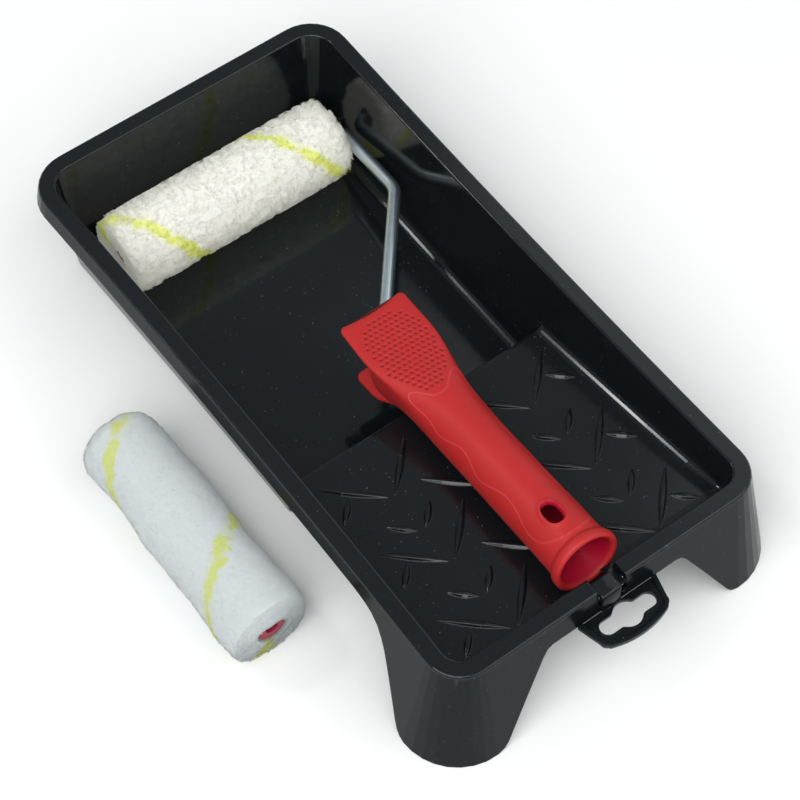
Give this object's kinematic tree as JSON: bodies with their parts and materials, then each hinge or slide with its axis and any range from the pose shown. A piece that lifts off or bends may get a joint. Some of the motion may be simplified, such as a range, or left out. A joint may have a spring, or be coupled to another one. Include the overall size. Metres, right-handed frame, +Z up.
{
  "type": "mini paint roller tray set",
  "caption": "Moulded tray with a deep well and ribbed ramp on two front legs, a hanging tab, a mini roller with a bent wire frame lying in it, and a spare sleeve.",
  "frame": {"origin": "middle of the flat underside of the well, on the ground", "axes": "+X across the tray towards the wire side of the roller, +Y from the front legs towards the back of the well, +Z up"},
  "size_m": [0.2291, 0.3423, 0.0741],
  "materials": {
    "tray_plastic": "satin black moulded plastic with scuffs",
    "handle_plastic": "glossy red moulded plastic",
    "wire_steel": "zinc plated wire",
    "striped_pile": "cream woven pile with a yellow spiral stripe",
    "spare_pile": "white woven pile with a yellow spiral stripe",
    "plug_plastic": "deep red moulded plastic"
  },
  "bodies": {
    "tray": {"tray": "tray_plastic", "hang_tab": "tray_plastic"},
    "frame": {"handle": "handle_plastic", "wire_frame": "wire_steel", "wire_stop": "plug_plastic", "wire_clip": "wire_steel"},
    "sleeve": {"sleeve_core": "handle_plastic", "sleeve_pile": "striped_pile", "sleeve_plug_near": "plug_plastic", "sleeve_plug_far": "plug_plastic"},
    "spare": {"spare_core": "handle_plastic", "spare_pile": "spare_pile", "spare_plug_near": "plug_plastic", "spare_plug_far": "plug_plastic"}
  },
  "joints": [
    {"name": "roller_lift", "type": "slide", "parent": "tray", "child": "frame", "axis": [0, 0, 1], "range_m": [0, 0.08]},
    {"name": "sleeve_spin", "type": "hinge", "parent": "frame", "child": "sleeve", "pos_m": [0, 0.0605, 0.0222], "axis": [1, 0, 0], "continuous": true},
    {"name": "spare_lift", "type": "slide", "parent": "tray", "child": "spare", "axis": [0, 0, 1], "range_m": [0, 0.08]}
  ]
}
